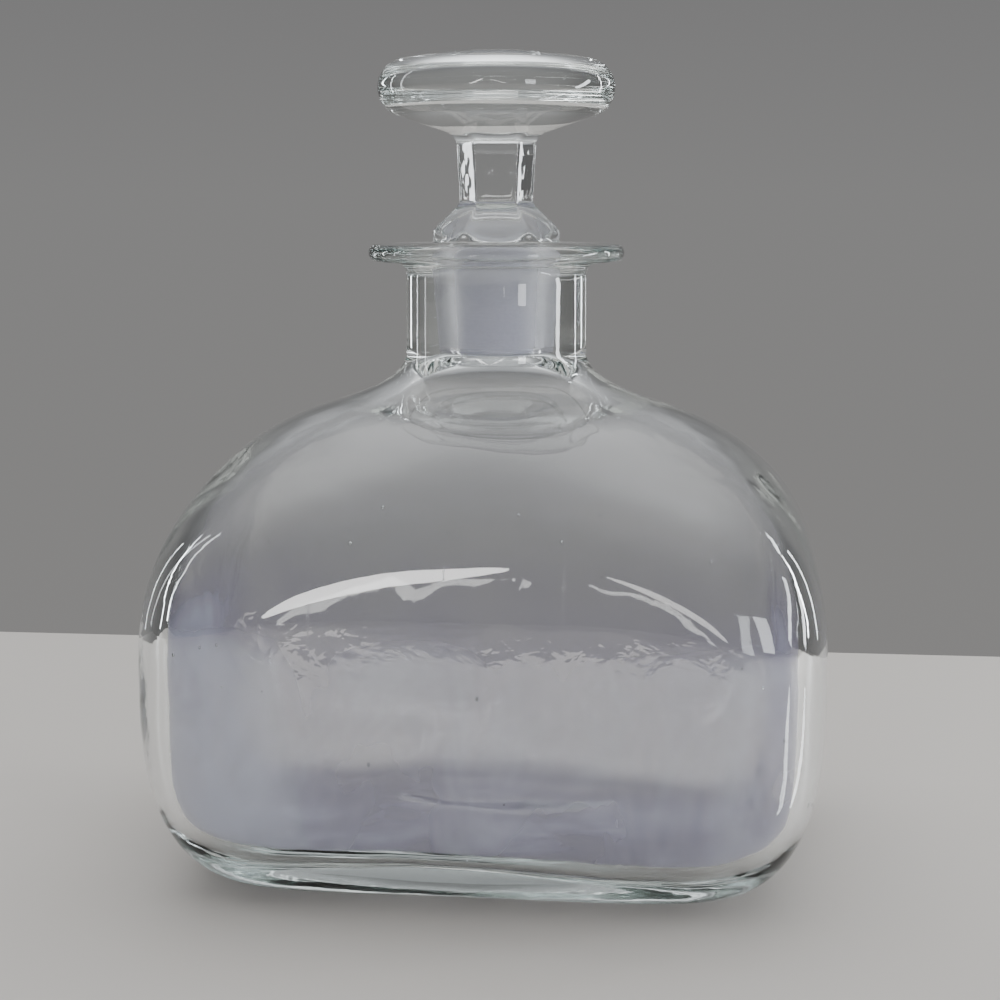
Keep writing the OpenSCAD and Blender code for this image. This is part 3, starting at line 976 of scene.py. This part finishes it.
def studio_table():
    """A pale table top whose back edge runs a hand's breadth behind the bottle."""
    outline = (
        (-TABLE_SIDE, TABLE_FRONT),
        (TABLE_SIDE, TABLE_FRONT),
        (TABLE_SIDE, TABLE_BACK),
        (-TABLE_SIDE, TABLE_BACK),
    )
    corners = [(x, y, z) for z in (TABLE_UNDER, TABLE_TOP) for x, y in outline]
    sides = [(3, 2, 1, 0), (4, 5, 6, 7), (0, 1, 5, 4), (1, 2, 6, 5), (2, 3, 7, 6), (3, 0, 4, 7)]
    pale, _, shader = new_material("pale_table")
    shader.inputs["Base Color"].default_value = (*TABLE_COLOUR, 1.0)
    shader.inputs["Roughness"].default_value = TABLE_ROUGHNESS
    mesh = bpy.data.meshes.new("table_top")
    mesh.from_pydata(corners, [], sides)
    mesh.materials.append(pale)
    table = bpy.data.objects.new("table_top", mesh)
    bpy.context.scene.collection.objects.link(table)


def studio_backdrop():
    """Even light from all round: a grey wall behind, a dimmer room in front, brighter overhead."""
    world = bpy.data.worlds.new("studio_backdrop")
    world.use_nodes = True
    bpy.context.scene.world = world
    tree = world.node_tree
    tree.nodes.clear()
    axes = axes_of(tree, put(tree, "ShaderNodeTexCoord").outputs["Generated"])
    ramp = put(tree, "ShaderNodeValToRGB", {0: sum_of(tree, "MULTIPLY_ADD", axes["Z"], 0.5, 0.5)})
    stops = ramp.color_ramp.elements
    stops[0].position, stops[0].color = BACKDROP_BELOW
    stops[1].position, stops[1].color = BACKDROP_OVERHEAD
    for position, shade in BACKDROP_BETWEEN:
        stops.new(position).color = shade
    front = faded(tree, axes["Y"], -0.4, 0.3, low=0.5, high=1.0)
    sides = faded(tree, sum_of(tree, "ABSOLUTE", axes["X"]), 0.35, 0.8, low=1.0, high=0.5)
    inputs = {"Color": ramp.outputs[0], "Strength": product(tree, front, sides)}
    light = put(tree, "ShaderNodeBackground", inputs)
    out = put(tree, "ShaderNodeOutputWorld")
    tree.links.new(light.outputs[0], out.inputs[0])


def long_light_paths():
    """Lets light turn often enough inside thick glass to find its way out."""
    paths = bpy.context.scene.cycles
    paths.max_bounces = paths.transmission_bounces = paths.transparent_max_bounces = 24
    paths.glossy_bounces = 20


def softbox(name, place, width, height, power, tint, aim=MID_BODY, tilt=0.0, shape="RECTANGLE"):
    """A soft lamp, its size in metres, its power in watts and its tilt in degrees."""
    lamp = bpy.data.lights.new(name, "AREA")
    lamp.shape, lamp.size, lamp.size_y = shape, width, height
    lamp.energy, lamp.color = power, tint
    made = bpy.data.objects.new(name, lamp)
    bpy.context.scene.collection.objects.link(made)
    made.location = place
    way = made.location.copy()
    way.xyz = [a - b for a, b in zip(aim, place)]
    turned = way.to_track_quat("-Z", "Y").to_matrix()
    made.rotation_euler = (turned @ Matrix.Rotation(math.radians(tilt), 3, "Z")).to_euler()
    made.visible_camera = False


def studio_lamps():
    """Two arched windows in front, a window and a card at the right, and thin lights along the sides."""
    arc = {"tint": WARM_WHITE, "shape": "ELLIPSE"}
    softbox("left_arc_window", (-0.33, -1.5, 0.3), 0.54, 0.1, 3.2, tilt=49, **arc)
    softbox("right_arc_window", (0.22, -1.5, 0.29), 0.6, 0.07, 1.2, tilt=-45, **arc)
    softbox("corner_window", (0.93, -1.16, 0.28), 0.26, 0.42, 4.6, COOL_WHITE)
    softbox("right_window", (0.67, 0.08, 0.2), 0.06, 0.34, 1.8, COOL_WHITE, tilt=-40)
    softbox("right_card", CARD_PLACE, 0.24, 0.014, 0.16, COOL_WHITE, aim=OVER_CARD, shape="ELLIPSE")
    softbox("left_slit", (-0.62, 0.05, 0.3), 0.025, 0.5, 0.4, COOL_WHITE)
    softbox("right_rim", (0.7, 0.5, 0.24), 0.035, 0.5, 1.3, COOL_WHITE, aim=SHOULDERS)
    softbox("left_rim", (-0.79, 0.34, 0.24), 0.022, 0.5, 0.7, COOL_WHITE, aim=SHOULDERS)


def photo_camera():
    """Half a metre in front, a little to the right, looking slightly down."""
    lens = bpy.data.cameras.new("photo_camera")
    lens.lens, lens.sensor_width = CAMERA_LENS, CAMERA_SENSOR
    lens.clip_start, lens.clip_end = 0.01, 50.0
    camera = bpy.data.objects.new("photo_camera", lens)
    bpy.context.scene.collection.objects.link(camera)
    side = math.radians(CAMERA_SIDE)
    camera.location = (CAMERA_AWAY * math.sin(side), -CAMERA_AWAY * math.cos(side), CAMERA_Z)
    camera.rotation_euler = (math.radians(90 - CAMERA_DIP), 0, math.radians(CAMERA_SIDE - CAMERA_YAW))
    bpy.context.scene.camera = camera


frost_group = ground_frost_group()
wear_group = shelf_wear_group()
seeds = seeds_group()

blown_wall = blown_wall_tree(seeds)
blown = {
    "Points Round": 224,
    "Corner Crowding": 0.12,
    "Wave Height": WAVE_HEIGHT,
    "Wave Length": WAVE_LENGTH,
    "Floor Swell": FLOOR_SWELL,
    "Floor Dip": FLOOR_DIP,
    "Seed": 3,
}
bottle = lofted_piece(
    "blown_bottle",
    rings_of_bottle(),
    blown_wall,
    {**blown, "Glass": bottle_glass_material(frost_group, wear_group)},
)
bloom = lofted_piece(
    "lime_bloom", rings_of_cavity(BLOOM_FILM), blown_wall, {**blown, "Glass": lime_bloom_material()}
)
cut_glass = cut_glass_tree(seeds)
cut = {
    "Points Round": 240,
    "Flats": FLATS,
    "Edge Sharpness": 34.0,
    "Turn": STOPPER_TURN,
    "Wave Height": 0.00004,
    "Wave Length": 0.005,
    "Seed": 5,
}
stopper = lofted_piece(
    "mushroom_stopper",
    rings_of_stopper(),
    cut_glass,
    {**cut, "Glass": stopper_glass_material(frost_group, wear_group)},
)
bore_skin = ground_skin_material("bore_skin", frost_group, BORE_FROST_THIN, BORE_FROST_THICK)
plug_skin = ground_skin_material("plug_skin", frost_group, PLUG_FROST_THIN, PLUG_FROST_THICK)
bore_frost = lofted_piece(
    "bore_frost", rings_of_bore_frost(), blown_wall, {**blown, "Points Round": 96, "Glass": bore_skin}
)
plug_frost = lofted_piece(
    "plug_frost", rings_of_plug_frost(), cut_glass, {**cut, "Points Round": 96, "Glass": plug_skin}
)
for piece in (bottle, bloom, bore_frost):
    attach(piece, "bottle")
for piece in (stopper, plug_frost):
    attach(piece, "stopper")
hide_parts("bottle")
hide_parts("stopper")

studio_table()
studio_backdrop()
long_light_paths()
studio_lamps()
photo_camera()
